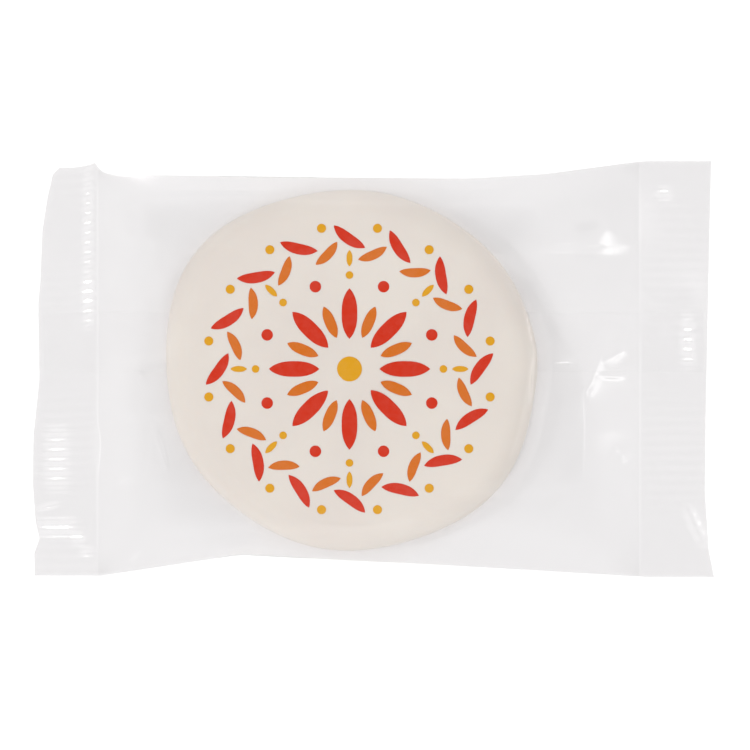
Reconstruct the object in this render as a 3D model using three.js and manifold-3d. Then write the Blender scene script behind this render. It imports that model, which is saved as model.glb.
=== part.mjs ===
// A round iced cookie sealed in a clear flow-wrap film pack, lying with its iced face up.
// The sealed pack is one solid: the cookie's uneven disc, the tube of film drawn over it, a crimped seal at
// each end and the fin folded flat underneath.
// Millimetres, +Z up, +X along the pack. The origin is the bottom centre of the pack's box.
import * as THREE from 'three';
import { mergeVertices } from 'three/addons/utils/BufferGeometryUtils.js';
import Module from 'manifold-3d';

const wasm = await Module();
wasm.setup();
const { clamp, degToRad, lerp } = THREE.MathUtils;

// Cookie under the film
const COOKIE_RADIUS = 38.65;
const COOKIE_CENTRE_X = -5;
const PACK_HEIGHT = 9.8;
const FACE_DOME = 0.9;
const RIM_WIDTH = 6;
const RIM_DROP = 5.8;
const FOOT_ROUNDING = 2.2;

// Waves of the cookie's uneven outline: how many round it, size, and turn in degrees
const OUTLINE_WAVES = [[2, 1.0, 54], [3, 0.26, 281], [4, 0.45, 159], [6, 0.34, 216]];

// Tube of film
const CREST_Y = 35.5;
const PLATEAU_HEIGHT = 9.1;
const PLATEAU_RADIUS = 37;
const FOOT_CLEARANCE = 0.1;
const SIDE_FOLD_HEIGHT = 4.7;
const SHEET_HALF = 0.15;
const SHELF_SAG = 0.1;
const SHELF_MINIMUM = 1.5;
const SIDE_POWER = 0.95;
const PLEAT_HEIGHT = 0.25;
const PLEAT_PITCH = 14;

// Creases where the upper sheet turns down towards each seal, as [y, x] stations
const LEFT_CREASE = [
  [-36, -47.8], [-24, -47.6], [-11, -47], [-9, -49.2], [1, -49.2], [3, -45.6],
  [10, -45.6], [26, -47.2], [28, -50.5], [36, -52.5],
];
const RIGHT_CREASE = [
  [-36, 42.5], [-26, 43.8], [-1, 43.8], [3.6, 42.1], [8.6, 39.4],
  [12.3, 36.7], [17.8, 34], [24, 28.5], [26, 34], [36, 36],
];

// Pack outline: long edges as [x, y] stations, end edges as [y, x] stations
const SEAL_INNER_LEFT = -57.5;
const SEAL_INNER_RIGHT = 55.5;
const TOP_EDGE = [[-57.5, 41.2], [-50, 40.6], [-5, 39.9], [20, 39.8], [36, 40.8], [55.5, 43.4]];
const BOTTOM_EDGE = [[-57.5, -43.2], [-28, -38.8], [14, -40.9], [55.5, -43.4]];
const LEFT_END = [
  [-43.2, -70.8], [-38.5, -70.9], [-35.4, -69.8], [-32, -70.6], [-24, -71.2], [-14, -71.1],
  [-2, -69.9], [18, -69.6], [29, -69.2], [36, -68.1], [41, -66.9], [43.1, -63.5],
];
const RIGHT_END = [[-43.5, 71.2], [-38, 70.1], [-20, 69.1], [10, 69.4], [26, 70.1], [43.5, 70.6]];

// Crimped end seals
const SEAL_HEIGHT = 3.3;
const SEAL_WAVE = 0.5;
const SEAL_HALF = 0.3;
const SEAL_OVERLAP = 1.5;
const CRIMP_PITCH = 2.1;
const CRIMP_HALF_HEIGHT = 0.2;
const CRIMP_SHARES = [0, 0.25, 1];

// Fin seal, folded flat along the underside
const FIN_LOW_Y = -0.6;
const FIN_HIGH_Y = 11.9;
const FIN_THICKNESS = 0.35;
const FIN_START = 34.5;
const FIN_OVERLAP = 0.35;

// Mesh steps
const ROUND_STEPS = 96;
const FACE_SHARES = [0.45, 0.8];
const ROUNDING_ANGLES = [0, 30, 52, 70, 90];
const TUBE_ROWS = 24;
const SIDE_SHARES = [0, 0.35, 0.7];
const STRETCH_STEPS = [6, 3, 4, 3, 6];
const FIN_STEPS = 9;
const FIN_ROWS = 4;

// Value at a station s, on straight lines between [station, value] pairs
function between(stations, s) {
  const last = stations.length - 1;
  if (s <= stations[0][0]) return stations[0][1];
  if (s >= stations[last][0]) return stations[last][1];
  const index = stations.findIndex(([start], i) => s >= start && s <= stations[i + 1][0]);
  const [start, from] = stations[index];
  const [end, to] = stations[index + 1];
  return lerp(from, to, (s - start) / (end - start));
}

// Difference between the cookie's uneven outline and a true circle, at an angle about its centre
function outlineWave(angle) {
  let wave = 0;
  for (const [count, size, turn] of OUTLINE_WAVES) wave += size * Math.cos(count * angle + degToRad(turn));
  return wave;
}

// Height at which the upper and lower sheet meet, at the side folds and in the seals
function meetingHeight(x, y) {
  const sealX = x < COOKIE_CENTRE_X ? SEAL_INNER_LEFT : SEAL_INNER_RIGHT;
  const endness = Math.min((x - COOKIE_CENTRE_X) / (sealX - COOKIE_CENTRE_X), 1);
  const rise = (SIDE_FOLD_HEIGHT - SEAL_HEIGHT) * Math.cos(endness * Math.PI / 2) ** 2;
  const wave = SEAL_WAVE * endness * endness * Math.sin(y / 11 + x / 40);
  return SEAL_HEIGHT + rise + wave;
}

// X at which a sheet leaves the cookie, on the left (side -1) or right (side 1), along a line of constant Y
function leavingX(y, side) {
  const crestY = clamp(y, -CREST_Y, CREST_Y);
  const circleX = side * Math.sqrt(PLATEAU_RADIUS ** 2 - crestY ** 2);
  const radius = PLATEAU_RADIUS + outlineWave(Math.atan2(crestY, circleX));
  return COOKIE_CENTRE_X + side * Math.sqrt(radius ** 2 - crestY ** 2);
}

// X of the crease where a sheet, having left the cookie nearly level, turns towards the seal
function creaseX(y, side) {
  const crease = between(side < 0 ? LEFT_CREASE : RIGHT_CREASE, y);
  const leaving = leavingX(y, side);
  return leaving + side * Math.max(side * (crease - leaving), SHELF_MINIMUM);
}

// Heights of the tube's upper and lower sheet
function tubeHeights(x, y) {
  const side = x < COOKIE_CENTRE_X ? -1 : 1;
  const sealX = side < 0 ? SEAL_INNER_LEFT : SEAL_INNER_RIGHT;
  const leaving = leavingX(y, side);
  const crease = creaseX(y, side);
  const shelf = clamp((x - leaving) / (crease - leaving), 0, 1);
  const slope = clamp((x - crease) / (sealX - crease), 0, 1);
  const kept = 1 - SHELF_SAG * shelf - (1 - SHELF_SAG) * slope;
  const edge = Math.abs(between(y > 0 ? TOP_EDGE : BOTTOM_EDGE, x));
  const inward = clamp((edge - Math.abs(y)) / (edge - CREST_Y), 0, 1) ** SIDE_POWER;
  const meeting = meetingHeight(x, y);
  const pleat = PLEAT_HEIGHT * Math.sin(Math.PI * slope) * Math.sin(2 * Math.PI * y / PLEAT_PITCH + side);
  return {
    upper: meeting + ((PLATEAU_HEIGHT - meeting) * kept + pleat) * inward + SHEET_HALF,
    lower: meeting - (meeting - FOOT_CLEARANCE) * kept * inward - SHEET_HALF * (1 - kept * inward),
  };
}

function toGeometry(points, triangles) {
  const geometry = new THREE.BufferGeometry();
  geometry.setAttribute('position', new THREE.Float32BufferAttribute(points.flat(), 3));
  geometry.setIndex(triangles);
  return geometry;
}

// A closed mesh from loops of points, with the first and last loop closed by a fan about a centre
function closedLoops(loops, firstCentre, lastCentre) {
  const count = loops[0].length;
  const points = [firstCentre, ...loops.flat(), lastCentre];
  const at = (loop, step) => 1 + loop * count + (step % count);
  const triangles = [];
  for (let step = 0; step < count; step += 1) {
    triangles.push(0, at(0, step), at(0, step + 1));
    for (let loop = 0; loop + 1 < loops.length; loop += 1) {
      triangles.push(at(loop, step), at(loop + 1, step), at(loop + 1, step + 1));
      triangles.push(at(loop, step), at(loop + 1, step + 1), at(loop, step + 1));
    }
    triangles.push(points.length - 1, at(loops.length - 1, step + 1), at(loops.length - 1, step));
  }
  return toGeometry(points, triangles);
}

// A flat strip or sheet between matching upper and lower lines of points that run from low to high Y
function closedStrip(upperLines, lowerLines) {
  const loops = upperLines[0].map((_, j) => [
    ...upperLines.map((line) => line[j]),
    ...lowerLines.toReversed().map((line) => line[j]),
  ]);
  const middle = (loop) => [0, 1, 2].map((axis) => {
    const low = Math.min(...loop.map((point) => point[axis]));
    const high = Math.max(...loop.map((point) => point[axis]));
    return (low + high) / 2;
  });
  return closedLoops(loops, middle(loops[0]), middle(loops.at(-1)));
}

// The cookie as the film shows it: a domed disc with rounded rims and an uneven outline
function cookieDisc() {
  const loop = (inset, share, z) => [...Array(ROUND_STEPS).keys()].map((step) => {
    const angle = 2 * Math.PI * step / ROUND_STEPS;
    const radius = share * (COOKIE_RADIUS + outlineWave(angle) - inset);
    return [COOKIE_CENTRE_X + radius * Math.cos(angle), radius * Math.sin(angle), z];
  });
  const shoulder = PACK_HEIGHT - FACE_DOME;
  const loops = FACE_SHARES.map((share) => loop(RIM_WIDTH, share, PACK_HEIGHT - FACE_DOME * share ** 3));
  for (const degrees of ROUNDING_ANGLES) {
    const turn = degToRad(degrees);
    const inset = RIM_WIDTH * (1 - Math.sin(turn));
    loops.push(loop(inset, 1, shoulder - RIM_DROP * (1 - Math.cos(turn))));
  }
  for (const degrees of ROUNDING_ANGLES.toReversed()) {
    const turn = degToRad(degrees);
    const inset = FOOT_ROUNDING * (1 - Math.sin(turn));
    loops.push(loop(inset, 1, FOOT_ROUNDING * (1 - Math.cos(turn))));
  }
  return closedLoops(loops, [COOKIE_CENTRE_X, 0, PACK_HEIGHT], [COOKIE_CENTRE_X, 0, 0]);
}

// The tube of film, from one end seal to the other, with a crest along each side
function filmTube() {
  const rows = [...SIDE_SHARES.map((share) => [-1, share])];
  for (let row = 0; row <= TUBE_ROWS; row += 1) rows.push([lerp(-CREST_Y, CREST_Y, row / TUBE_ROWS), 1]);
  rows.push(...SIDE_SHARES.toReversed().map((share) => [1, share]));
  const rowY = ([place, share], x) => {
    if (share === 1) return place;
    const edge = between(place < 0 ? BOTTOM_EDGE : TOP_EDGE, x);
    return lerp(edge, place * CREST_Y, share);
  };
  const columnsX = (y) => {
    const left = [SEAL_INNER_LEFT - SEAL_OVERLAP, creaseX(y, -1), leavingX(y, -1)];
    const right = [leavingX(y, 1), creaseX(y, 1), SEAL_INNER_RIGHT + SEAL_OVERLAP];
    const ends = [...left, ...right];
    const stretches = STRETCH_STEPS.map((count, stretch) => [...Array(count).keys()].map((step) => (
      lerp(ends[stretch], ends[stretch + 1], step / count)
    )));
    return [...stretches.flat(), ends.at(-1)];
  };
  const line = (column, sheet) => rows.map((row) => {
    const x = columnsX(row[1] === 1 ? row[0] : row[0] * CREST_Y)[column];
    const y = rowY(row, x);
    return [x, y, tubeHeights(x, y)[sheet]];
  });
  const lines = (sheet) => [...columnsX(0).keys()].toReversed().map((column) => line(column, sheet));
  return closedStrip(lines('upper'), lines('lower'));
}

// One crimped end seal: both sheets pressed into ridges along the pack, thicker where the fin joins in
function endSeal(endEdge, innerX) {
  const lowY = endEdge[0][0];
  const highY = endEdge.at(-1)[0];
  const ridges = 2 * Math.round((highY - lowY) / CRIMP_PITCH);
  const line = (share, face) => {
    const points = [];
    for (let j = 0; j <= ridges; j += 1) {
      const y = lerp(lowY, highY, j / ridges);
      const x = lerp(innerX, between(endEdge, y), share);
      const ridge = CRIMP_HALF_HEIGHT * Math.min(share / CRIMP_SHARES[1], 1) * (j % 2 === 0 ? -1 : 1);
      const fin = face < 0 && y > FIN_LOW_Y && y < FIN_HIGH_Y ? FIN_THICKNESS : 0;
      points.push([x, y, meetingHeight(x, y) + ridge + face * SEAL_HALF - fin]);
    }
    return points;
  };
  const shares = innerX > 0 ? CRIMP_SHARES.toReversed() : CRIMP_SHARES;
  return closedStrip(shares.map((share) => line(share, 1)), shares.map((share) => line(share, -1)));
}

// One stretch of the folded fin, along the underside from one X to a lower X
function finStretch(fromX, toX) {
  const line = (step, drop) => [...Array(FIN_ROWS + 1).keys()].map((row) => {
    const x = lerp(fromX, toX, step / FIN_STEPS);
    const y = lerp(FIN_LOW_Y, FIN_HIGH_Y, row / FIN_ROWS);
    return [x, y, Math.max(tubeHeights(x, y).lower - drop, 0)];
  });
  const steps = [...Array(FIN_STEPS + 1).keys()];
  return closedStrip(
    steps.map((step) => line(step, -FIN_OVERLAP)),
    steps.map((step) => line(step, FIN_THICKNESS)),
  );
}

function toManifold(geometry) {
  const welded = mergeVertices(geometry, 1e-4);
  return new wasm.Manifold(new wasm.Mesh({
    numProp: 3,
    vertProperties: new Float32Array(welded.attributes.position.array),
    triVerts: new Uint32Array(welded.index.array),
  }));
}

function toBufferGeometry(solid) {
  const mesh = solid.getMesh();
  const geometry = new THREE.BufferGeometry();
  geometry.setAttribute('position', new THREE.BufferAttribute(mesh.vertProperties, 3));
  geometry.setIndex(new THREE.BufferAttribute(mesh.triVerts, 1));
  geometry.computeVertexNormals();
  return geometry;
}

function sealedPack() {
  const solid = toManifold(filmTube())
    .add(toManifold(cookieDisc()))
    .add(toManifold(endSeal(LEFT_END, SEAL_INNER_LEFT)))
    .add(toManifold(endSeal(RIGHT_END, SEAL_INNER_RIGHT)))
    .add(toManifold(finStretch(COOKIE_CENTRE_X - FIN_START, SEAL_INNER_LEFT - SEAL_OVERLAP)))
    .add(toManifold(finStretch(SEAL_INNER_RIGHT + SEAL_OVERLAP, COOKIE_CENTRE_X + FIN_START)));
  const material = new THREE.MeshStandardMaterial({ color: 0xe8e0d8, roughness: 0.35, metalness: 0 });
  const mesh = new THREE.Mesh(toBufferGeometry(solid), material);
  mesh.name = 'sealed_pack';
  return mesh;
}

const group = new THREE.Group();
group.add(sealedPack());

export default group;
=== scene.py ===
"""A round iced cookie with a printed rosette, sealed in a clear flow-wrap film pack.

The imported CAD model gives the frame: one solid, sealed_pack, out to the film. Here that solid is
replaced with the thin film itself, the fin on its back, the biscuit, its icing and the print.
Lengths are in millimetres and are turned into metres where a mesh is made. +X runs along the
pack, +Z is up through the iced face.
"""
from math import cos, pi, radians, sin, tan

import bpy
import numpy as np
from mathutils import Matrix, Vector


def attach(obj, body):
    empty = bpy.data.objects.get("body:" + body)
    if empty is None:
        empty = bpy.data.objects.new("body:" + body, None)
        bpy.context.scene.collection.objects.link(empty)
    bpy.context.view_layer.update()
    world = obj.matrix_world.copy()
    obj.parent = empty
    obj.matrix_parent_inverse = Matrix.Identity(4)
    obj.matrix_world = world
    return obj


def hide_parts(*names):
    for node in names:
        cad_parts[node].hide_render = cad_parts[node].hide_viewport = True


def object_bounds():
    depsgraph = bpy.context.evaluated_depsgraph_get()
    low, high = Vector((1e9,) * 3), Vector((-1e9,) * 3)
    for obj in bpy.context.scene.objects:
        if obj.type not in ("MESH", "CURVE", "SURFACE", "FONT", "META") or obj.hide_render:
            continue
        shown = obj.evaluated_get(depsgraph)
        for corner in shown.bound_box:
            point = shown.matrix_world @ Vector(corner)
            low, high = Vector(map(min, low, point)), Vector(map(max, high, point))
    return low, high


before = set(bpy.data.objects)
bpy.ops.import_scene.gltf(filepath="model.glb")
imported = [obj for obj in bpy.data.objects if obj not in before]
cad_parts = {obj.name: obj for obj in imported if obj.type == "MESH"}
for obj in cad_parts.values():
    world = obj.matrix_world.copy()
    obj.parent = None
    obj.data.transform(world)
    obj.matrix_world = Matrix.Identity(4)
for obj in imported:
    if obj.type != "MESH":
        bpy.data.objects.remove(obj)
cad_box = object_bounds()

MM = 0.001
PACK_LEFT = cad_box[0].x / MM
PACK_HEIGHT = cad_box[1].z / MM
HALF_LENGTH = cad_box[1].x / MM
HALF_WIDTH = cad_box[1].y / MM

# Cookie under the film. Its outline is a circle with slow waves, as (count, size, turn in degrees),
# and one bulge, at a turn in degrees and narrower the greater its sharpness.
COOKIE_CENTRE_X = -5.0
COOKIE_RADIUS = 38.65
FACE_DOME = 0.9
RIM_WIDTH = 6.0
RIM_DROP = 5.8
FOOT_ROUNDING = 2.2
OUTLINE_WAVES = ((2, 1.0, 54), (3, 0.26, 281), (4, 0.45, 159), (6, 0.34, 216))
BULGE = 0.9
BULGE_TURN = 3.0
BULGE_SHARPNESS = 39.0
UNEVENNESS = 0.06

# Icing: gap to the film, height of its lower lip and of the lip's waves, and clearance to the biscuit
ICING_GAP = 0.2
ICING_LIP = 1.25
ICING_LIP_WAVE = 0.3
ICING_CLEARANCE = 0.1

# Icing's side below its rounded rim: inset past ICING_GAP, drop below the rim, share of the lip's waves
ICING_SIDE = ((0.0, 0.05, 0.0), (0.02, 0.25, 0.1), (0.10, 0.6, 0.4))

# Icing's lip: inset past ICING_GAP, rise above ICING_LIP, share of the lip's waves
LIP_CURL = ((0.40, 0.45, 0.9), (0.70, 0.1, 1.0), (1.00, 0.0, 1.0), (1.30, 0.3, 1.0))

# Biscuit
BISCUIT_TOP = 6.2
BISCUIT_FOOT = 0.3

# Side of the biscuit from its top to its foot: inset from the cookie's rim, and height
BISCUIT_SIDE = (
    (3.6, 6.2), (2.3, 5.4), (1.6, 4.0), (1.4, 2.6), (1.35, 1.6), (1.55, 1.0), (2.0, 0.55), (2.7, 0.3),
)

# Rings of points: their shares of the radius on the cookie's flat faces, the innermost share and the
# count on its domed face, the count on its rounded rim, and the number of points in each ring
INNER_SHARES = (0.2, 0.6, 0.9)
FOOT_SHARES = (0.95, 0.85, 0.7, 0.5, 0.3, 0.1)
FACE_CENTRE_SHARE = 0.06
FACE_RINGS = 16
RIM_RINGS = 26
TURN_STEPS = 240

# Print: height of the ink over the icing, points along and across a leaf and a dot, the shape of a
# leaf's outline and the half width of its tip
INK_HEIGHT = 0.07
ROSETTE_X = COOKIE_CENTRE_X
LEAF_GRID = (25, 7)
DOT_GRID = 11
LEAF_FULLNESS = 2.6
LEAF_TAPER = 0.9
LEAF_TIP = 0.02

# Rings of marks about the rosette's centre: count, ring radius and share of a step that the ring is
# turned, then the radius of its dots, or the length, width, lean in radians and bend of its leaves
ROSETTE = {
    "print_red": (
        (8, 11.5, 0.0, (10.5, 3.2, 0.0, 0.0)),
        (16, 27.5, 0.0, (8.0, 2.2, 0.95, 0.06)),
        (8, 18.5, 0.5, (1.2,)),
    ),
    "print_orange": (
        (8, 10.5, 0.5, (7.0, 2.2, 0.0, 0.0)),
        (16, 24.5, 0.5, (6.5, 1.9, -0.95, -0.06)),
    ),
    "print_gold": (
        (1, 0.0, 0.0, (2.6,)),
        (16, 29.8, 0.5, (0.95,)),
        (8, 19.5, 0.0, (0.8,)),
        (8, 23.0, 0.0, (3.4, 1.2, 0.0, 0.0)),
    ),
}

# Tube of film. It leaves the cookie at PLATEAU_HEIGHT and runs as a sagging shelf to the creases. On
# the right, a shelf narrower than SHELF_FULL_WIDTH sags less.
CREST_Y = 35.5
PLATEAU_HEIGHT = 9.25
PLATEAU_RADIUS = 37.0
LOWER_SHEET = 0.14
SIDE_FOLD_HEIGHT = 4.7
SHELF_SAG = 0.1
SHELF_FULL_WIDTH = 12.0
SHELF_MINIMUM = 1.5
SIDE_POWER = 0.95
PLEAT_HEIGHT = 0.25
PLEAT_PITCH = 14.0

# Swells of the loose film: height of the broad and the fine ones, and how late they fade towards a seal
BROAD_SWELL = 0.12
FINE_SWELL = 0.04
SWELL_FADE = 4

# Distance from the pack's middle line at which the softness of the crests starts, and how slowly it grows
CREST_FADE_START = 8
CREST_FADE_WIDTH = 18

# Creases where the upper sheet turns down towards each seal, as (y, x) stations
LEFT_CREASE = (
    (-36, -47.8), (-24, -47.6), (-11, -47), (-9, -49.2), (1, -49.2), (3, -45.6),
    (10, -45.6), (26, -47.2), (28, -50.5), (36, -52.5),
)
RIGHT_CREASE = (
    (-36, 42.5), (-26, 43.8), (-1, 43.8), (3.6, 42.1), (8.6, 39.4),
    (12.3, 36.7), (17.8, 34), (24, 28.5), (26, 34), (36, 36),
)

# How softly the sheets bend at the creases, as (y, reach), and at the crests along their sides, as
# (x, share)
LEFT_SOFTNESS = (
    (-36, 5.0), (-27, 3.0), (-23, 1.2), (-11, 1.2), (2, 1.2), (6, 2.0), (24, 2.0), (36, 3.0),
)
RIGHT_SOFTNESS = ((-36, 6.0), (-27, 5.0), (-24, 0.8), (3, 0.6), (18, 0.8), (25, 4.0), (36, 5.0))
TOP_SOFTNESS = (
    (-56, 0.8), (-48, 0.3), (-40, 0.2), (-24, 0.2), (0, 0.3), (22, 0.25), (34, 0.25), (42, 0.8), (55, 0.9),
)
BOTTOM_SOFTNESS = ((-56, 0.8), (-30, 0.6), (10, 0.7), (24, 1.0), (55, 1.2))
LOWER_CREASE_SHIFT = 2.5
LOWER_SOFTNESS = 4.0
LOWER_CREST_SOFTNESS = 1.0

# Y of the crest along the side towards +Y, as (x, y). On the other side it is CREST_Y.
TOP_CREST = ((-57, 35.5), (-48, 36.4), (-24, 36.4), (-8, 35.5), (57, 35.5))

# Pack outline: long edges as (x, y) stations, end edges as (y, x) stations
SEAL_INNER_LEFT = -57.5
SEAL_INNER_RIGHT = 55.5
TOP_EDGE = (
    (-66.0, 42.1), (-62.4, 42.45), (-58.9, 43.1), (-57.8, 42.4), (-56.6, 41.2), (-55.1, 40.7), (-50, 40.6),
    (-5, 39.9), (20, 39.8), (36, 40.8), (54, 43.2), (57, 43.5),
)
BOTTOM_EDGE = ((-57.0, -43.2), (-28, -38.8), (14, -40.9), (54, -43.3), (57, -43.5))
LEFT_END = (
    (-43.2, -70.8), (-38.5, -70.9), (-35.4, -69.8), (-32, -70.6), (-24, -71.2), (-14, -71.1),
    (-2, -69.9), (9, -70.1), (14, -70.1), (18, -69.7), (29, -69.2), (36, -68.1),
    (40.7, -67.0), (42.3, -65.4), (43.1, -63.5),
)
RIGHT_END = ((-43.5, 71.2), (-38, 70.1), (-26, 69.3), (-10, 69.4), (10, 69.8), (26, 70.2), (43.5, 70.6))

# Crimped end seals
SEAL_HEIGHT = 3.3
SEAL_WAVE = 0.5
SEAL_GAP = 0.06
CRIMP_HALF_HEIGHT = 0.012
CRIMP_COUNT = 42
CRIMP_FADE = 1.2
ROWS_PER_CRIMP = 6
SEAL_DEPTH = 13.0
EDGE_FADE = 4.0

# Film's grid: columns across each seal, ends of the stretch over the cookie, and columns left of it,
# over it and right of it
SEAL_COLUMNS = 18
LEVEL_LEFT_X = -42.0
LEVEL_RIGHT_X = 28.0
BODY_COLUMNS = (44, 34, 64)

# Places where the crimp bites deeper: centre, half width and half length of each, and how many times
# deeper it bites there
DEEP_CRIMPS = (
    ((-59.7, 30.5), (0.7, 12.4), 18.5),
    ((-59.7, 13.0), (0.7, 4.5), 18.5),
    ((-66.2, -18.5), (2.2, 6.6), 18.5),
    ((-66.2, -33.2), (3.6, 2.2), 18.5),
    ((-61.6, -35.6), (0.9, 1.2), 18.5),
    ((-60.0, -38.4), (0.9, 1.2), 18.5),
    ((65.7, 6.0), (1.0, 5.4), 23.0),
    ((60.7, 36.6), (1.2, 1.3), 24.0),
)

# Fin seal, folded flat along the underside
FIN_LOW_Y = -0.6
FIN_HIGH_Y = 11.9
FIN_END_GAP = 2.3
FIN_GAP = 0.06
FIN_THICKNESS = 0.08
FIN_CLEARANCE = 0.03
FIN_SERRATION = 0.025
FIN_SERRATION_PITCH = 1.3
FIN_GRID = (420, 15)

# Film folds with a sharp crest and hollow flanks: start, end, height and flank width of each. The
# taper is that of the crest towards its ends.
FOLD_TAPER = 0.7
FOLDS = (
    ((48.2, 7.2), (51.0, 7.2), 0.30, 1.0),
    ((48.0, 5.6), (44.9, -4.0), 0.50, 2.4),
    ((46.6, -1.3), (52.6, -1.7), 0.36, 1.0),
    ((47.8, 1.6), (53.2, 4.6), 0.60, 2.8),
    ((36.9, 1.7), (43.0, 1.7), 0.26, 0.8),
    ((43.8, -8.0), (43.8, -28.0), 0.12, 0.9),
    ((31.4, 14.5), (33.9, 3.5), 0.30, 0.9),
    ((33.9, 5.0), (32.8, -9.0), 0.26, 0.9),
    ((-45.3, -12.5), (-43.0, -21.0), 0.40, 0.8),
    ((-57.8, -9.0), (-57.8, -22.0), 0.32, 0.8),
    ((65.2, -28.0), (69.4, -37.5), 0.50, 2.0),
    ((-70.5, -29.5), (-65.5, -28.0), 0.30, 0.8),
)

# Soft bumps pressed into the film: centre, reach and height of each
BUMPS = (
    ((48.6, 31.2), 4.2, 1.7),
    ((44.3, -4.0), 0.9, 0.35),
    ((51.9, -17.8), 1.1, 0.42),
    ((49.4, -14.5), 1.8, -0.15),
    ((-49.5, -0.8), 1.0, 0.4),
    ((66.0, 16.2), 2.4, 0.25),
)

# Film that leans outwards where it leaves the cookie on the right: crest height, width, and the arc
# it covers, as the azimuth of its middle and its half width in degrees
DRAPE_HEIGHT = 0.5
DRAPE_WIDTH = 2.4
DRAPE_AZIMUTH = -12.0
DRAPE_SPREAD = 34.0

# Faint folds scattered beside the cookie: count, seed, spread of their turn in radians, and the
# ranges of their length, height and flank width
SMALL_FOLDS = 60
SEED = 7
FOLD_TURN_SPREAD = 0.5
FOLD_LENGTHS = (4, 13)
FOLD_HEIGHTS = (-0.035, 0.04)
FOLD_WIDTHS = (0.5, 1.4)

# Angle in radians from which an edge of a mesh is sharp
SHARP_ANGLE = 1.4

# Colours, linear
FLOOR_COLOUR = (0.55, 0.55, 0.55, 1.0)
FLOOR_GLOW = 0.44
ICING_COLOUR = (0.755, 0.703, 0.643, 1.0)
ICING_SHADE = (0.728, 0.670, 0.618, 1.0)
BISCUIT_COLOUR = (0.62, 0.36, 0.15, 1.0)
BISCUIT_BROWN = (0.38, 0.17, 0.055, 1.0)
INKS = {
    "print_red": (0.60, 0.024, 0.002, 1.0),
    "print_orange": (0.63, 0.150, 0.008, 1.0),
    "print_gold": (0.70, 0.335, 0.006, 1.0),
}

# Share of the icing's colour in the paler mottles of the inks
INK_MOTTLE = 0.02

# Food finishes: scale of the mottling, roughness, scale of the relief and its depth in mm, share of
# light scattered inside, and shine
ICING_FINISH = (60, 0.55, 900, 0.02, 0.15, 0.3)
BISCUIT_FINISH = (250, 0.8, 700, 0.25, 0.0, 0.3)
INK_FINISH = (800, 0.5, 1500, 0.01, 0.0, 0.08)
SCATTER_RADIUS = (0.0012, 0.0009, 0.0007)
NOISE_DETAIL = 4.0
MOTTLE_START = 0.35
MOTTLE_END = 0.65

# Light tent: its strength at heights above the horizon, given as sines, up to the dim opening overhead
TENT_STOPS = (
    (0.0, 0.83), (0.35, 0.82), (0.70, 0.70), (0.90, 0.84), (0.95, 0.76), (0.985, 0.38), (1.0, 0.06),
)

# Soft lamps: azimuth from +X and lean from straight overhead, in degrees, size in metres and power
SOFT_LAMPS = (
    (0, 0, 0.4, 3.7),
    (270, 65, 0.4, 2.4),
    (225, 45, 0.4, 3.0),
    (180, 65, 0.4, 0.5),
    (180, 47, 0.14, 3.2),
    (45, 55, 0.4, 3.5),
    (90, 65, 0.4, 0.9),
    (0, 65, 0.4, 0.2),
)
SOFT_DISTANCE = 1.5

# Near lamps with a narrow beam that put the white glints on the folds and ridges of the film: place
# in mm that the lamp is aimed at, slope of the film that shows it from above, half size in mm, half
# beam in degrees and radiance of each. Each lamp is GLINT_DISTANCE metres from its place.
GLINT_DISTANCE = 0.04
GLINTS = {
    "dots_high": ((-70.0, 31.5, 3.4), (0.0, -0.50), 19.0, 18.0, 14.0),
    "dots_low": ((-59.7, 13.0, 3.4), (0.0, -0.50), 10.0, 16.0, 4.0),
    "dashes": ((-66.2, -18.5, 3.4), (0.0, -0.50), 12.0, 16.0, 8.5),
    "corner_left": ((-70.0, -34.5, 3.4), (0.0, -0.50), 13.0, 16.0, 6.5),
    "dots_right": ((65.8, 6.0, 3.4), (0.0, -0.50), 12.0, 18.0, 20.0),
    "dash_right": ((60.7, 36.6, 3.4), (0.0, -0.50), 9.0, 18.0, 12.0),
    "blob": ((51.0, 27.2, 5.9), (0.30, -0.26), 10.0, 20.0, 3.4),
    "cluster_lines": ((50.5, 2.5, 6.2), (0.50, -0.28), 11.0, 16.0, 3.2),
    "cluster_strip": ((46.0, 1.0, 8.0), (0.66, -0.10), 7.5, 12.0, 3.2),
    "low_spot": ((52.4, -18.2, 4.8), (0.46, -0.24), 3.5, 7.0, 2.5),
    "shelf_line": ((40.1, 1.7, 9.0), (0.09, -0.25), 5.0, 8.0, 4.0),
    "cookie_edge": ((33.1, 4.0, 9.5), (-0.27, -0.02), 9.0, 10.0, 2.2),
    "crease_line": ((43.8, -17.0, 8.6), (0.27, 0.0), 9.0, 6.0, 3.0),
    "curve_left": ((-44.6, -16.0, 8.7), (-0.55, -0.14), 4.0, 12.0, 4.0),
    "crease_left": ((-57.8, -15.5, 3.4), (-0.30, 0.0), 4.5, 8.0, 4.0),
    "corner_right": ((67.2, -32.5, 3.4), (0.27, 0.13), 8.0, 12.0, 2.8),
}

# Film finish
FILM_TINT = (0.885, 0.877, 0.880, 1.0)
# The seals' tint is lighter than the body's. This is partly because welded sheets lose less light, and
# partly painted light: it lifts the flat seals, which reflect the dim opening overhead, to the tone of the
# sloped film.
SEAL_TINT_WITH_PAINTED_LIFT = (0.905, 0.897, 0.900, 1.0)
FIN_TINT = (0.997, 0.997, 0.997, 1.0)
FILM_MIRROR = 0.07
FIN_MIRROR = 0.002
FILM_ROUGHNESS = 0.17
SEAL_ROUGHNESS = 0.22
GRAZING_POWER = 5.0

# Floor, in metres
FLOOR_SIZE = 6
FLOOR_DROP = 0.0002

# Camera straight above the pack, in metres, far enough away to look flat; the sensor is in mm
CAMERA_X = 0.0003
CAMERA_Y = -0.00125
CAMERA_HEIGHT = 0.9
CAMERA_SEEN_WIDTH = 0.1568
CAMERA_SENSOR = 36

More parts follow.
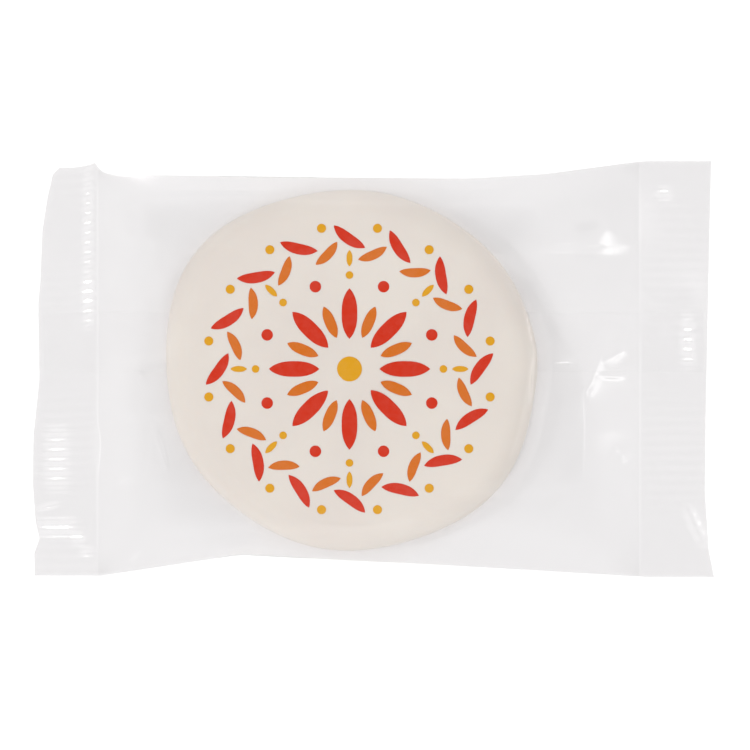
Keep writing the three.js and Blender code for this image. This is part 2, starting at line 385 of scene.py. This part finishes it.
TRANSPARENT_BOUNCES = 32


# ---- shape functions -------------------------------------------------------------------------

def between(stations, s):
    """Value at s on straight lines between (station, value) pairs."""
    places, values = zip(*stations)
    return np.interp(s, places, values)


def outline_wave(angle):
    """Difference between the cookie's uneven outline and a true circle, at an angle about its centre."""
    waves = sum(size * np.cos(count * angle + np.radians(turn)) for count, size, turn in OUTLINE_WAVES)
    return waves + BULGE * np.exp(BULGE_SHARPNESS * (np.cos(angle - radians(BULGE_TURN)) - 1))


def rounded(past, drop):
    """Drop of a rounded rim at a share of the way across it."""
    return drop * (1 - np.sqrt(1 - np.clip(past, 0, 1) ** 2))


def polar(x, y):
    """Distance from the cookie's centre, and the radius of the cookie's rim in that direction."""
    angle = np.arctan2(y, x - COOKIE_CENTRE_X)
    return np.hypot(x - COOKIE_CENTRE_X, y), COOKIE_RADIUS + outline_wave(angle)


def face_height(x, y):
    """Height of the film on the cookie's domed face and rounded rim, and zero outside the cookie."""
    radius, rim = polar(x, y)
    inner = rim - RIM_WIDTH
    crown = PACK_HEIGHT - FACE_DOME * np.clip(radius / inner, 0, 1) ** 3
    return np.where(radius < rim, crown - rounded((radius - inner) / RIM_WIDTH, RIM_DROP), 0.0)


def foot_height(x, y):
    """Height of the lower film where it passes under the cookie's rounded foot."""
    radius, rim = polar(x, y)
    past = (radius - rim + FOOT_ROUNDING) / FOOT_ROUNDING
    return np.where(radius < rim, LOWER_SHEET + rounded(past, FOOT_ROUNDING), PACK_HEIGHT)


def meeting_height(x, y):
    """Height at which the upper and lower sheet meet, at the side folds and in the seals."""
    seal_x = np.where(x < COOKIE_CENTRE_X, SEAL_INNER_LEFT, SEAL_INNER_RIGHT)
    endness = np.minimum((x - COOKIE_CENTRE_X) / (seal_x - COOKIE_CENTRE_X), 1)
    rise = (SIDE_FOLD_HEIGHT - SEAL_HEIGHT) * np.cos(endness * pi / 2) ** 2
    return SEAL_HEIGHT + rise + SEAL_WAVE * endness**2 * np.sin(y / 11 + x / 40)


def leaving_x(y, side):
    """X at which a sheet leaves the cookie, along a line of constant Y."""
    crest_y = np.clip(y, -CREST_Y, CREST_Y)
    circle_x = side * np.sqrt(PLATEAU_RADIUS**2 - crest_y**2)
    radius = PLATEAU_RADIUS + outline_wave(np.arctan2(crest_y, circle_x))
    return COOKIE_CENTRE_X + side * np.sqrt(radius**2 - crest_y**2)


def crease_x(y, side, leaving):
    """X of the crease where a sheet, having left the cookie nearly level, turns towards the seal."""
    crease = np.where(side < 0, between(LEFT_CREASE, y), between(RIGHT_CREASE, y))
    return leaving + side * np.maximum(side * (crease - leaving), SHELF_MINIMUM)


def soft_ramp(past, reach):
    """Zero well below zero and past itself well above it, with a bend that is rounded over a reach."""
    return (past + np.sqrt(past**2 + reach**2)) / 2


def sheet_waves(x, y):
    """Low swells of a loose sheet."""
    broad = BROAD_SWELL * np.sin(x / 2.9 + y / 6.1) * np.cos(y / 4.7 - x / 9.3)
    return broad + FINE_SWELL * np.sin(x / 1.7 - y / 3.1)


def fold_relief(x, y, folds):
    """Height that folds add to a sheet: each rises ever steeper to a sharp crest."""
    relief = np.zeros_like(x)
    for (x0, y0), (x1, y1), height, width in folds:
        length = np.hypot(x1 - x0, y1 - y0)
        along = ((x - x0) * (x1 - x0) + (y - y0) * (y1 - y0)) / length**2
        across = ((x - x0) * (y1 - y0) - (y - y0) * (x1 - x0)) / length
        taper = np.sin(pi * np.clip(along, 0, 1)) ** FOLD_TAPER
        relief += height * taper * np.maximum(1 - np.abs(across) / width, 0) ** 2
    return relief


def bump_relief(x, y):
    """Height that soft bumps add to a sheet."""
    relief = np.zeros_like(x)
    for (centre_x, centre_y), reach, height in BUMPS:
        relief += height * np.exp(-((x - centre_x) ** 2 + (y - centre_y) ** 2) / (2 * reach**2))
    return relief


def drape_relief(x, y):
    """Height of the low ridge in the upper sheet along the right-hand side of the cookie."""
    radius, rim = polar(x, y)
    azimuth = np.degrees(np.arctan2(y, x - COOKIE_CENTRE_X))
    reach = np.clip(1 - np.abs(azimuth - DRAPE_AZIMUTH) / DRAPE_SPREAD, 0, 1)
    return DRAPE_HEIGHT * np.sin(pi / 2 * reach) * np.clip(1 - np.abs(radius - rim) / DRAPE_WIDTH, 0, 1)


def small_folds():
    """Faint seeded folds scattered over the seals and the slopes of the film."""
    draw = np.random.default_rng(SEED)
    folds = []
    while len(folds) < SMALL_FOLDS:
        x = draw.uniform(-HALF_LENGTH, HALF_LENGTH)
        y = draw.uniform(-HALF_WIDTH, HALF_WIDTH)
        turn = draw.normal(0, FOLD_TURN_SPREAD)
        length = draw.uniform(*FOLD_LENGTHS)
        height = draw.uniform(*FOLD_HEIGHTS)
        width = draw.uniform(*FOLD_WIDTHS)
        if abs(x - COOKIE_CENTRE_X) > COOKIE_RADIUS:
            step = (length / 2 * np.cos(turn), length / 2 * np.sin(turn))
            folds.append(((x - step[0], y - step[1]), (x + step[0], y + step[1]), height, width))
    return folds


def tube_heights(x, y):
    """Heights of the upper and lower sheet of the tube, before the upper one lies on the cookie's face."""
    side = np.where(x < COOKIE_CENTRE_X, -1.0, 1.0)
    seal_x = np.where(side < 0, SEAL_INNER_LEFT, SEAL_INNER_RIGHT)
    leaving = leaving_x(y, side)
    crease = crease_x(y, side, leaving)
    crease_reach = np.where(side < 0, between(LEFT_SOFTNESS, y), between(RIGHT_SOFTNESS, y))
    crest_reach = np.where(y > 0, between(TOP_SOFTNESS, x), between(BOTTOM_SOFTNESS, x))
    crest_reach *= np.clip((np.abs(y) - CREST_FADE_START) / CREST_FADE_WIDTH, 0, 1)
    edge = np.abs(np.where(y > 0, between(TOP_EDGE, x), between(BOTTOM_EDGE, x)))
    shelf = np.clip((x - leaving) / (crease - leaving), 0, 1)
    sag = SHELF_SAG * np.where(side < 0, 1, np.clip((crease - leaving) / SHELF_FULL_WIDTH, 0, 1))
    crest_y = np.where(y > 0, between(TOP_CREST, x), CREST_Y)
    outward = 1 - (edge - np.abs(y)) / (edge - crest_y)

    def bent(shift, crease_reach, crest_reach):
        """Shares of a sheet's height kept along the pack and across it, and how far down its slope it is."""
        run = side * (x - crease) - shift
        whole = side * (seal_x - crease) - shift
        slope = np.clip(soft_ramp(run, crease_reach) / soft_ramp(whole, crease_reach), 0, 1)
        past_crest = soft_ramp(outward, crest_reach) / soft_ramp(1, crest_reach)
        inward = np.clip(1 - past_crest, 0, 1) ** SIDE_POWER
        return 1 - sag * shelf - (1 - sag) * slope, inward, slope

    meeting = meeting_height(x, y)
    kept, inward, slope = bent(0, crease_reach, crest_reach)
    pleat = PLEAT_HEIGHT * np.sin(pi * slope) * np.sin(2 * pi * y / PLEAT_PITCH + side)
    loose = np.minimum(shelf, SWELL_FADE * (1 - slope)) * sheet_waves(x, y)
    upper = meeting + ((PLATEAU_HEIGHT - meeting) * kept + pleat + loose) * inward
    kept, inward, _ = bent(LOWER_CREASE_SHIFT, LOWER_SOFTNESS, LOWER_CREST_SOFTNESS)
    lower = meeting - (meeting - LOWER_SHEET) * kept * inward
    return upper, np.minimum(lower, foot_height(x, y))


# ---- mesh helpers ----------------------------------------------------------------------------

def to_object(name, points, faces, smooth=True):
    """A mesh object from points in millimetres."""
    mesh = bpy.data.meshes.new(name)
    mesh.from_pydata((np.asarray(points, float) * MM).tolist(), [], faces)
    mesh.validate()
    mesh.polygons.foreach_set("use_smooth", [smooth] * len(mesh.polygons))
    mesh.set_sharp_from_angle(angle=SHARP_ANGLE)
    mesh.update()
    made = bpy.data.objects.new(name, mesh)
    bpy.context.scene.collection.objects.link(made)
    return made


def grid_faces(index):
    """Four-sided faces of a grid of point numbers, facing up where rows run along +Y, columns along +X."""
    corners = (index[:-1, :-1], index[1:, :-1], index[1:, 1:], index[:-1, 1:])
    return np.stack(corners, axis=-1).reshape(-1, 4)


def closed_sheets(upper, lower):
    """Points and faces of two grids of points that share the points of their outer edge."""
    shape = upper.shape[:2]
    count = shape[0] * shape[1]
    top = np.arange(count).reshape(shape)
    bottom = top + count
    for edge in (np.s_[0, :], np.s_[-1, :], np.s_[:, 0], np.s_[:, -1]):
        bottom[edge] = top[edge]
    faces = np.concatenate([grid_faces(top), grid_faces(bottom)[:, ::-1]])
    points = np.concatenate([upper.reshape(-1, 3), lower.reshape(-1, 3)])
    used, renumbered = np.unique(faces, return_inverse=True)
    return points[used], renumbered.reshape(-1, 4).tolist()


# ---- film ------------------------------------------------------------------------------------

def body_columns():
    """X of the film's columns between the seals, closest where the film is loose."""
    left_count, level_count, right_count = BODY_COLUMNS
    left = np.linspace(SEAL_INNER_LEFT, LEVEL_LEFT_X, left_count)
    over_cookie = np.linspace(LEVEL_LEFT_X, LEVEL_RIGHT_X, level_count)
    right = np.linspace(LEVEL_RIGHT_X, SEAL_INNER_RIGHT, right_count)
    return np.concatenate([left[:-1], over_cookie[:-1], right])


def film_grid():
    """X and Y of the film's grid: columns along the pack, rows across it in step with the crimps."""
    rows = np.linspace(0, 1, CRIMP_COUNT * ROWS_PER_CRIMP + 1)
    seal_shares = np.linspace(1, 0, SEAL_COLUMNS + 1)[:-1]

    def column_y(x):
        return np.interp(rows, (0, 1), (between(BOTTOM_EDGE, x), between(TOP_EDGE, x)))

    columns = []
    for share in seal_shares:
        y = column_y(SEAL_INNER_LEFT - share * SEAL_DEPTH)
        columns.append((SEAL_INNER_LEFT + share * (between(LEFT_END, y) - SEAL_INNER_LEFT), y))
    for x in body_columns():
        y = column_y(x)
        columns.append((np.full_like(y, x), y))
    for share in seal_shares[::-1]:
        y = column_y(SEAL_INNER_RIGHT + share * SEAL_DEPTH)
        columns.append((SEAL_INNER_RIGHT + share * (between(RIGHT_END, y) - SEAL_INNER_RIGHT), y))
    x, y = np.transpose(columns, (1, 0, 2))
    return x, y


def crimp_relief(x, y, row):
    """Height of the crimp ridges, fading in over the inner line of each seal and deeper in places."""
    depth = np.maximum(SEAL_INNER_LEFT - x, x - SEAL_INNER_RIGHT)
    bite = np.clip(depth / CRIMP_FADE, 0, 1)
    for (centre_x, centre_y), (reach_x, reach_y), times in DEEP_CRIMPS:
        away = ((x - centre_x) / reach_x) ** 4 + ((y - centre_y) / reach_y) ** 4
        bite = bite * (1 + (times - 1) * np.exp(-away))
    return CRIMP_HALF_HEIGHT * bite * np.sin(2 * pi * row / ROWS_PER_CRIMP)


def make_film():
    """The film: an upper and a lower sheet that share their outer edge, with their folds and crimps."""
    x, y = film_grid()
    x = np.clip(x, PACK_LEFT, HALF_LENGTH)
    upper, lower = tube_heights(x, y)
    row = np.broadcast_to(np.arange(x.shape[1]), x.shape)
    crimp = crimp_relief(x, y, row)
    folds = fold_relief(x, y, FOLDS) + fold_relief(x, y, small_folds())
    folds += bump_relief(x, y) + drape_relief(x, y)
    folds *= np.clip((HALF_WIDTH - np.abs(y)) / EDGE_FADE, 0, 1)
    inside = np.clip(np.minimum(x + HALF_LENGTH, HALF_LENGTH - x), 0, 1)
    gap = SEAL_GAP * inside
    gap[[0, -1], :] = 0
    gap[:, [0, -1]] = 0
    in_seal = (x < SEAL_INNER_LEFT) | (x > SEAL_INNER_RIGHT)
    upper = np.minimum(upper + folds + crimp + gap, PACK_HEIGHT)
    upper = np.maximum(upper, face_height(x, y))
    lower = lower + crimp - gap + np.where(in_seal, folds, 0)
    lower = np.maximum(lower, LOWER_SHEET)
    upper[[0, -1], :] = lower[[0, -1], :]
    upper[:, [0, -1]] = lower[:, [0, -1]]
    points, faces = closed_sheets(np.stack((x, y, upper), -1), np.stack((x, y, lower), -1))
    return to_object("film", points, faces)


def make_fin():
    """The fin seal: a thin strip that follows the underside of the film."""
    along = np.linspace(-HALF_LENGTH + FIN_END_GAP, HALF_LENGTH - FIN_END_GAP, FIN_GRID[0])
    across = np.linspace(FIN_LOW_Y, FIN_HIGH_Y, FIN_GRID[1])
    x, y = np.meshgrid(along, across, indexing="ij")
    lower = tube_heights(x, y)[1]
    share = (y - between(BOTTOM_EDGE, x)) / (between(TOP_EDGE, x) - between(BOTTOM_EDGE, x))
    row = share * CRIMP_COUNT * ROWS_PER_CRIMP
    serration = FIN_SERRATION * np.sin(2 * pi * x / FIN_SERRATION_PITCH)
    top = lower + crimp_relief(x, y, row) - SEAL_GAP - FIN_GAP + serration
    top = np.maximum(top, LOWER_SHEET - FIN_CLEARANCE + serration)
    bottom = np.maximum(top - FIN_THICKNESS, 0)
    bottom[[0, -1], :] = top[[0, -1], :]
    bottom[:, [0, -1]] = top[:, [0, -1]]
    points, faces = closed_sheets(np.stack((x, y, top), -1), np.stack((x, y, bottom), -1))
    return to_object("fin_seal", points, faces)


# ---- cookie ----------------------------------------------------------------------------------

def unevenness(x, y):
    """Slight waviness of a hand-laid surface."""
    return UNEVENNESS * (np.sin(x / 6.1 + 1.0) * np.cos(y / 7.3) + 0.6 * np.sin(x / 3.1 - y / 4.2))


def lip_wave(angle):
    """How far the icing's lower lip wanders up and down along the side."""
    waves = np.sin(7 * angle + 0.6) + 0.7 * np.sin(13 * angle + 2.0) + 0.5 * np.sin(23 * angle)
    return ICING_LIP_WAVE * waves / 2


def turned(profile, name):
    """A closed round mesh from stations of a profile, from top centre to bottom centre.

    A station is its inset from the rim, share of the radius, height and share of the lip's waves.
    """
    steps = TURN_STEPS
    angle = np.linspace(0, 2 * pi, steps, endpoint=False)
    rings = []
    for inset, share, height, wave in profile:
        radius = share * (COOKIE_RADIUS + outline_wave(angle) - inset)
        x = COOKIE_CENTRE_X + radius * np.cos(angle)
        y = radius * np.sin(angle)
        rings.append(np.stack((x, y, height + unevenness(x, y) * share + wave * lip_wave(angle)), -1))
    top_centre = (COOKIE_CENTRE_X, 0, profile[0][2])
    bottom_centre = (COOKIE_CENTRE_X, 0, profile[-1][2])
    points = np.concatenate([[top_centre], *rings, [bottom_centre]])
    faces = []
    last = len(points) - 1
    for step in range(steps):
        after = (step + 1) % steps
        faces.append((0, 1 + step, 1 + after))
        for ring in range(len(rings) - 1):
            start = 1 + ring * steps
            faces.append((start + step, start + steps + step, start + steps + after, start + after))
        start = 1 + (len(rings) - 1) * steps
        faces.append((last, start + after, start + step))
    return to_object(name, points, faces)


def icing_top(share):
    """Height of the icing's domed face at a share of the way from its centre to its rim."""
    return PACK_HEIGHT - ICING_GAP - FACE_DOME * share**3


def make_icing():
    """The icing: a domed face that rounds over the rim and runs down nearly the whole side."""
    shoulder = icing_top(1.0)
    face_shares = np.linspace(FACE_CENTRE_SHARE, 1, FACE_RINGS)
    profile = [(RIM_WIDTH, share, icing_top(share), 0) for share in face_shares]
    for turn in pi / 2 * (1 - np.linspace(1, 0, RIM_RINGS) ** 2)[1:]:
        inset = RIM_WIDTH - (RIM_WIDTH - ICING_GAP) * np.sin(turn)
        profile.append((inset, 1, shoulder - RIM_DROP * (1 - np.cos(turn)), 0))
    side_top = shoulder - RIM_DROP
    profile += [(ICING_GAP + inset, 1, side_top - drop, wave) for inset, drop, wave in ICING_SIDE]
    profile += [(ICING_GAP + inset, 1, ICING_LIP + rise, wave) for inset, rise, wave in LIP_CURL]
    profile += [(inset - ICING_CLEARANCE, 1, height, 0) for inset, height in reversed(BISCUIT_SIDE[:3])]
    underside = BISCUIT_TOP + ICING_CLEARANCE
    profile += [(BISCUIT_SIDE[0][0], share, underside, 0) for share in reversed(INNER_SHARES)]
    return turned(profile, "icing")


def make_biscuit():
    """The biscuit: a flat-footed disc with a rounded edge, hidden by the icing except near its foot."""
    profile = [(BISCUIT_SIDE[0][0], share, BISCUIT_TOP, 0) for share in INNER_SHARES]
    profile += [(inset, 1, height, 0) for inset, height in BISCUIT_SIDE]
    profile += [(BISCUIT_SIDE[-1][0], share, BISCUIT_FOOT, 0) for share in FOOT_SHARES]
    return turned(profile, "biscuit")


# ---- print -----------------------------------------------------------------------------------

def printed(name, grids):
    """One thin inked piece, from grids of (x, y) points laid on the icing."""
    points, faces, start = [], [], 0
    for grid in grids:
        x, y = grid[..., 0], grid[..., 1]
        surface = face_height(x, y) - ICING_GAP + unevenness(x, y)
        top = np.stack((x, y, surface + INK_HEIGHT), -1)
        bottom = np.stack((x, y, surface - INK_HEIGHT), -1)
        top[[0, -1], :, 2] -= INK_HEIGHT / 2
        top[:, [0, -1], 2] -= INK_HEIGHT / 2
        made, quads = closed_sheets(top, bottom)
        points.append(made)
        faces += [[corner + start for corner in quad] for quad in quads]
        start += len(made)
    return to_object(name, np.concatenate(points), faces)


def leaf(centre, angle, length, width, bend):
    """A pointed oval about a point, its long axis at an angle, bent sideways by a share of its length."""
    along = np.linspace(-1, 1, LEAF_GRID[0])
    across = np.linspace(-1, 1, LEAF_GRID[1])
    s, t = np.meshgrid(along, across, indexing="ij")
    half = width / 2 * (1 - np.abs(s) ** LEAF_FULLNESS) ** LEAF_TAPER + LEAF_TIP
    u = s * length / 2
    v = t * half + bend * length * (1 - s**2)
    x = centre[0] + u * np.cos(angle) - v * np.sin(angle)
    y = centre[1] + u * np.sin(angle) + v * np.cos(angle)
    return np.stack((x, y), -1)


def dot(centre, radius):
    """A round dot, as a square grid pressed into a circle."""
    across = np.linspace(-1, 1, DOT_GRID)
    u, v = np.meshgrid(across, across, indexing="ij")
    x = centre[0] + radius * u * np.sqrt(1 - v**2 / 2)
    y = centre[1] + radius * v * np.sqrt(1 - u**2 / 2)
    return np.stack((x, y), -1)


def ring_of_marks(count, ring_radius, turn, shape):
    """Dots or leaves on a circle about the rosette's centre."""
    for step in range(count):
        angle = 2 * pi * (step + turn) / count
        place = (ROSETTE_X + ring_radius * np.cos(angle), ring_radius * np.sin(angle))
        if len(shape) == 1:
            yield dot(place, *shape)
        else:
            length, width, lean, bend = shape
            yield leaf(place, angle + lean, length, width, bend)


def make_print(name):
    """All the marks of one ink."""
    return printed(name, [mark for ring in ROSETTE[name] for mark in ring_of_marks(*ring)])


# ---- materials -------------------------------------------------------------------------------

def new_material(name):
    """A material with an empty node tree."""
    material = bpy.data.materials.new(name)
    material.use_nodes = True
    tree = material.node_tree
    tree.nodes.clear()
    return material, tree.nodes, tree.links


def placed_noise(nodes, links, scale):
    """A noise texture in object space."""
    place = nodes.new("ShaderNodeTexCoord")
    noise = nodes.new("ShaderNodeTexNoise")
    noise.inputs["Scale"].default_value = scale
    noise.inputs["Detail"].default_value = NOISE_DETAIL
    links.new(place.outputs["Object"], noise.inputs["Vector"])
    return noise.outputs["Fac"]


def mottled(nodes, links, share, low, high):
    """A colour that runs from low to high as share goes from MOTTLE_START to MOTTLE_END."""
    ramp = nodes.new("ShaderNodeValToRGB")
    ramp.color_ramp.elements[0].position = MOTTLE_START
    ramp.color_ramp.elements[0].color = low
    ramp.color_ramp.elements[1].position = MOTTLE_END
    ramp.color_ramp.elements[1].color = high
    links.new(share, ramp.inputs["Fac"])
    return ramp.outputs["Color"]


def relief(nodes, links, height, distance):
    """Normals of a fine relief of the given depth."""
    bump = nodes.new("ShaderNodeBump")
    bump.inputs["Distance"].default_value = distance
    bump.inputs["Strength"].default_value = 1.0
    links.new(height, bump.inputs["Height"])
    return bump.outputs["Normal"]


def matt_material(name, low, high, finish):
    """A matt food surface: mottled colour, fine relief and some light scattered inside."""
    mottle_scale, roughness, relief_scale, relief_mm, scattered, shine = finish
    material, nodes, links = new_material(name)
    shader = nodes.new("ShaderNodeBsdfPrincipled")
    shader.inputs["Roughness"].default_value = roughness
    shader.inputs["Specular IOR Level"].default_value = shine
    shader.inputs["Subsurface Weight"].default_value = scattered
    shader.inputs["Subsurface Radius"].default_value = SCATTER_RADIUS
    shader.inputs["Subsurface Scale"].default_value = 1.0
    colour = mottled(nodes, links, placed_noise(nodes, links, mottle_scale), low, high)
    normal = relief(nodes, links, placed_noise(nodes, links, relief_scale), relief_mm * MM)
    links.new(colour, shader.inputs["Base Color"])
    links.new(normal, shader.inputs["Normal"])
    output = nodes.new("ShaderNodeOutputMaterial")
    links.new(shader.outputs["BSDF"], output.inputs["Surface"])
    return material


def film_material(name, tint, mirror, roughness):
    """Clear film: a tinted see-through sheet with a glossy skin that grows towards grazing angles.

    Light that falls or bounces on what lies under the film passes it unchanged.
    """
    material, nodes, links = new_material(name)
    clear = nodes.new("ShaderNodeBsdfTransparent")
    clear.inputs["Color"].default_value = tint
    gloss = nodes.new("ShaderNodeBsdfAnisotropic")
    gloss.inputs["Color"].default_value = (1, 1, 1, 1)
    gloss.inputs["Roughness"].default_value = roughness
    facing = nodes.new("ShaderNodeLayerWeight")
    facing.inputs["Blend"].default_value = 0.5
    grazing = nodes.new("ShaderNodeMath")
    grazing.operation = "POWER"
    grazing.inputs[1].default_value = GRAZING_POWER
    mirrored = nodes.new("ShaderNodeMath")
    mirrored.operation = "MULTIPLY_ADD"
    mirrored.inputs[1].default_value = 1 - mirror
    mirrored.inputs[2].default_value = mirror
    skin = nodes.new("ShaderNodeMixShader")
    links.new(facing.outputs["Facing"], grazing.inputs[0])
    links.new(grazing.outputs["Value"], mirrored.inputs[0])
    links.new(mirrored.outputs["Value"], skin.inputs["Fac"])
    links.new(clear.outputs["BSDF"], skin.inputs[1])
    links.new(gloss.outputs["BSDF"], skin.inputs[2])
    surface = skin
    path = nodes.new("ShaderNodeLightPath")
    passing = nodes.new("ShaderNodeBsdfTransparent")
    for ray in ("Is Shadow Ray", "Is Diffuse Ray"):
        choice = nodes.new("ShaderNodeMixShader")
        links.new(path.outputs[ray], choice.inputs["Fac"])
        links.new(surface.outputs[0], choice.inputs[1])
        links.new(passing.outputs["BSDF"], choice.inputs[2])
        surface = choice
    output = nodes.new("ShaderNodeOutputMaterial")
    links.new(surface.outputs[0], output.inputs["Surface"])
    return material


def dress(piece, material):
    """Gives a piece its material and lets it ride on the root body."""
    piece.data.materials.append(material)
    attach(piece, "root")


# ---- stage -----------------------------------------------------------------------------------

def make_floor():
    """A pale board lit a little from within, as a light table is."""
    bpy.ops.mesh.primitive_plane_add(size=FLOOR_SIZE, location=(0, 0, -FLOOR_DROP))
    floor = bpy.context.object
    floor.name = "floor"
    material, nodes, links = new_material("floor")
    board = nodes.new("ShaderNodeBsdfDiffuse")
    board.inputs["Color"].default_value = FLOOR_COLOUR
    glow = nodes.new("ShaderNodeEmission")
    glow.inputs["Strength"].default_value = FLOOR_GLOW
    both = nodes.new("ShaderNodeAddShader")
    output = nodes.new("ShaderNodeOutputMaterial")
    links.new(board.outputs["BSDF"], both.inputs[0])
    links.new(glow.outputs["Emission"], both.inputs[1])
    links.new(both.outputs["Shader"], output.inputs["Surface"])
    floor.data.materials.append(material)


def softbox(name, target, way, size, power):
    """A square area light that lies in a direction from a place on the pack, and is aimed back at it."""
    lamp = bpy.data.lights.new(name, "AREA")
    lamp.shape = "SQUARE"
    lamp.size = size
    lamp.energy = power
    made = bpy.data.objects.new(name, lamp)
    made.location = target + way
    made.rotation_euler = (-way).to_track_quat("-Z", "Y").to_euler()
    bpy.context.scene.collection.objects.link(made)
    return made


def soft_lamp(azimuth, lean, size, power):
    """A soft lamp at an azimuth and a lean from overhead, in degrees, kept out of reflections."""
    turn, tip = radians(azimuth), radians(lean)
    way = SOFT_DISTANCE * Vector((sin(tip) * cos(turn), sin(tip) * sin(turn), cos(tip)))
    softbox("soft_%d_%d" % (azimuth, lean), Vector(), way, size, power).visible_glossy = False


def glint_lamp(name, place, slope, reach, half_beam, radiance):
    """A small near lamp with a narrow beam, kept out of diffuse light."""
    facet = Vector((slope[0], slope[1], 1)).normalized()
    way = GLINT_DISTANCE * (2 * facet.z * facet - Vector((0, 0, 1)))
    size = 2 * reach * MM
    half = radians(half_beam)
    power = radiance * pi * size**2 * (tan(half) - half) / tan(half)
    target = MM * Vector(place)
    made = softbox("glint_" + name, target, way, size, power)
    made.data.spread = 2 * half
    made.visible_diffuse = False


def make_light_tent():
    """A white tent of light with a dim opening overhead."""
    world = bpy.data.worlds.new("light_tent")
    bpy.context.scene.world = world
    world.use_nodes = True
    nodes, links = world.node_tree.nodes, world.node_tree.links
    direction = nodes.new("ShaderNodeTexCoord")
    parts = nodes.new("ShaderNodeSeparateXYZ")
    wall = nodes.new("ShaderNodeValToRGB")
    stops = wall.color_ramp.elements
    while len(stops) < len(TENT_STOPS):
        stops.new(1.0)
    for stop, (height, strength) in zip(stops, TENT_STOPS):
        stop.position = height
        stop.color = (strength, strength, strength, 1)
    links.new(direction.outputs["Generated"], parts.inputs["Vector"])
    links.new(parts.outputs["Z"], wall.inputs["Fac"])
    links.new(wall.outputs["Color"], nodes["Background"].inputs["Color"])
    nodes["Background"].inputs["Strength"].default_value = 1.0


def make_lights():
    """A light tent, soft lamps that shape the cookie, and small ones that glint on the film."""
    make_light_tent()
    for azimuth, lean, size, power in SOFT_LAMPS:
        soft_lamp(azimuth, lean, size, power)
    for name, glint in GLINTS.items():
        glint_lamp(name, *glint)


def make_camera():
    """Straight above the pack, with CAMERA_SEEN_WIDTH in view at the height of the seals."""
    camera = bpy.data.cameras.new("camera")
    camera.sensor_width = CAMERA_SENSOR
    camera.lens = camera.sensor_width * (CAMERA_HEIGHT - SEAL_HEIGHT * MM) / CAMERA_SEEN_WIDTH
    made = bpy.data.objects.new("camera", camera)
    made.location = (CAMERA_X, CAMERA_Y, CAMERA_HEIGHT)
    bpy.context.scene.collection.objects.link(made)
    bpy.context.scene.camera = made


# ---- assembly --------------------------------------------------------------------------------

make_camera()
make_lights()
make_floor()
bpy.context.scene.view_settings.view_transform = "Standard"
bpy.context.scene.cycles.transparent_max_bounces = TRANSPARENT_BOUNCES

film = make_film()
fin = make_fin()
icing = make_icing()
biscuit = make_biscuit()
prints = {name: make_print(name) for name in ROSETTE}

dress(film, film_material("clear_film", FILM_TINT, FILM_MIRROR, FILM_ROUGHNESS))
# The seals get a lighter copy of the film. Partly this is welded sheets that lose less light, and partly it
# is painted light on the flat seals.
film.data.materials.append(film_material("clear_film_sealed_painted_lift", SEAL_TINT_WITH_PAINTED_LIFT, FILM_MIRROR, SEAL_ROUGHNESS))
for face in film.data.polygons:
    face.material_index = not SEAL_INNER_LEFT < face.center.x / MM < SEAL_INNER_RIGHT
dress(fin, film_material("clear_film_fin", FIN_TINT, FIN_MIRROR, FILM_ROUGHNESS))
dress(icing, matt_material("icing", ICING_SHADE, ICING_COLOUR, ICING_FINISH))
dress(biscuit, matt_material("biscuit", BISCUIT_BROWN, BISCUIT_COLOUR, BISCUIT_FINISH))
for slot, piece in prints.items():
    ink = INKS[slot]
    paler = tuple((1 - INK_MOTTLE) * part + INK_MOTTLE * white for part, white in zip(ink, ICING_COLOUR))
    dress(piece, matt_material(slot, ink, paler, INK_FINISH))
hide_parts("sealed_pack")
